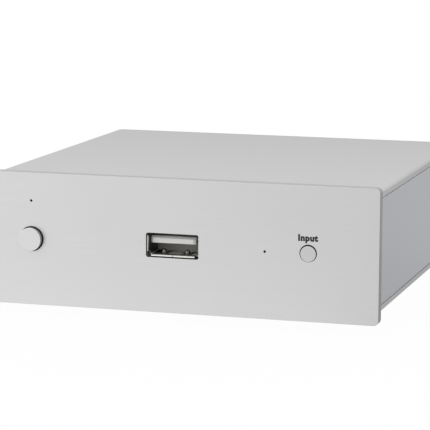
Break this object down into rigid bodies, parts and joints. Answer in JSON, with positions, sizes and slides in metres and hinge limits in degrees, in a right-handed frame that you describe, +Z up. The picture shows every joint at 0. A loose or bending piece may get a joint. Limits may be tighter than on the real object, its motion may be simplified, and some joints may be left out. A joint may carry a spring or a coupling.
{
  "type": "network music streamer",
  "caption": "Compact silver network music streamer with a thick brushed front plate, push buttons, front USB socket and rear audio, network, power and antenna sockets.",
  "frame": {"origin": "middle of the base, on the surface that the feet stand on", "axes": "+Z up; the front plate faces -Y; +X is to the right for a viewer who faces the front plate"},
  "size_m": [0.103, 0.1116, 0.037],
  "materials": {
    "brushed_aluminium": "fine horizontal brushed grain, clear anodised",
    "satin_aluminium": "satin clear anodised sheet and extrusion",
    "black_anodised": "satin black anodised",
    "zinc_steel": "bright zinc plated",
    "nickel_plate": "bright nickel plated",
    "gold_plate": "gold plated contacts",
    "brass": "turned brass",
    "black_plastic": "black moulded plastic",
    "ivory_plastic": "ivory moulded plastic",
    "white_plastic": "white moulded plastic",
    "red_plastic": "red moulded plastic",
    "clear_plastic": "clear acrylic",
    "green_board": "green solder mask on glass laminate",
    "blue_board": "blue solder mask on glass laminate",
    "capacitor_sleeve": "dark shrink sleeve",
    "foot_rubber": "moulded black rubber",
    "lead_jacket": "black cable jacket"
  },
  "bodies": {
    "case": {"front_plate": "brushed_aluminium", "front_sub_panel": "zinc_steel", "top_cover": "satin_aluminium", "bottom_cover": "satin_aluminium", "left_side_rail": "satin_aluminium", "right_side_rail": "satin_aluminium", "rear_panel": "black_anodised", "foot_front_left": "foot_rubber", "foot_front_right": "foot_rubber", "foot_rear_left": "foot_rubber", "foot_rear_right": "foot_rubber", "foot_screws": "zinc_steel", "front_plate_studs": "zinc_steel", "front_plate_nuts": "zinc_steel", "sub_panel_screws": "zinc_steel", "rear_panel_screws": "zinc_steel", "power_switch_body": "black_plastic", "source_switch_body": "black_plastic", "power_lamp_chip": "white_plastic", "source_lamp_chip": "white_plastic", "power_light_pipe": "clear_plastic", "source_light_pipe": "clear_plastic", "control_board": "green_board", "control_board_spacers": "brass", "control_board_screws": "zinc_steel", "control_ribbon": "white_plastic", "ribbon_sockets": "ivory_plastic", "usb_shell": "nickel_plate", "usb_tongue": "white_plastic", "usb_contacts": "gold_plate", "main_board": "green_board", "network_module": "blue_board", "module_shield": "nickel_plate", "module_headers": "black_plastic", "capacitors": "capacitor_sleeve", "chips": "black_plastic", "line_out_housing": "black_plastic", "line_out_sleeve_left": "nickel_plate", "line_out_sleeve_right": "nickel_plate", "line_out_insert_left": "white_plastic", "line_out_insert_right": "red_plastic", "line_out_contacts": "gold_plate", "optical_jack": "black_plastic", "lan_shell": "nickel_plate", "lan_insert": "black_plastic", "lan_contacts": "gold_plate", "lan_lamps": "clear_plastic", "power_inlet": "black_plastic", "power_inlet_pin": "nickel_plate", "antenna_socket": "gold_plate", "antenna_nut": "gold_plate", "antenna_lead": "lead_jacket"},
    "power_button": {"power_button_cap": "brushed_aluminium", "power_button_pusher": "black_plastic", "power_switch_plunger": "ivory_plastic"},
    "source_button": {"source_button_cap": "brushed_aluminium", "source_button_pusher": "black_plastic", "source_switch_plunger": "ivory_plastic"},
    "shutter": {"optical_shutter": "black_plastic"}
  },
  "joints": [
    {"name": "power_button_press", "type": "slide", "parent": "case", "child": "power_button", "axis": [0, 1, 0], "range_m": [0, 0.0005], "stiffness_N_per_m": 800, "springref_m": -0.001},
    {"name": "source_button_press", "type": "slide", "parent": "case", "child": "source_button", "axis": [0, 1, 0], "range_m": [0, 0.0005], "stiffness_N_per_m": 800, "springref_m": -0.001},
    {"name": "optical_shutter_hinge", "type": "hinge", "parent": "case", "child": "shutter", "pos_m": [-0.0048, 0.0471, 0.02525], "axis": [-1, 0, 0], "range_deg": [0, 85], "stiffness_Nm_per_rad": 0.0002, "springref_deg": -28.65}
  ]
}
